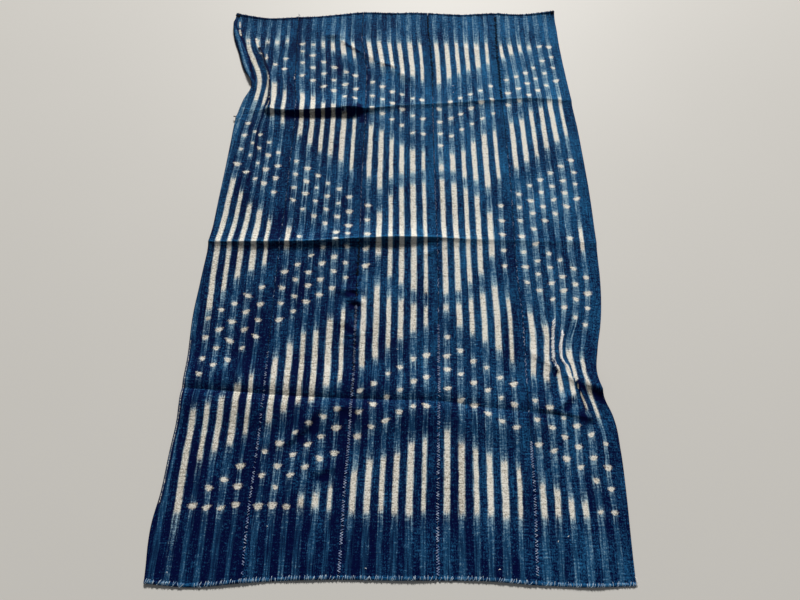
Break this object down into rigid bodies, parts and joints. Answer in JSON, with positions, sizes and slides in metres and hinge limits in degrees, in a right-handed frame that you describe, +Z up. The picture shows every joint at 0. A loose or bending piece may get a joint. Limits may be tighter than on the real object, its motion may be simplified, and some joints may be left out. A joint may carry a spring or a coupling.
{
  "type": "indigo cloth",
  "caption": "Flat indigo cotton cloth of hand-woven strips sewn edge to edge, with resist-dyed pale bars and dots, rolled hems, storage folds and mends.",
  "frame": {"origin": "middle of the bounding box at floor level, where the cloth rests", "axes": "+X across the woven strips to the picture's right, +Y along the strips away from the near hem, +Z up off the floor"},
  "size_m": [1.1632, 1.8548, 0.0206],
  "materials": {
    "indigo_cotton": "matte hand-woven cotton, resist-dyed with indigo"
  },
  "bodies": {
    "root": {"strip_1": "indigo_cotton", "strip_2": "indigo_cotton", "strip_3": "indigo_cotton", "strip_4": "indigo_cotton", "strip_5": "indigo_cotton"}
  },
  "joints": []
}
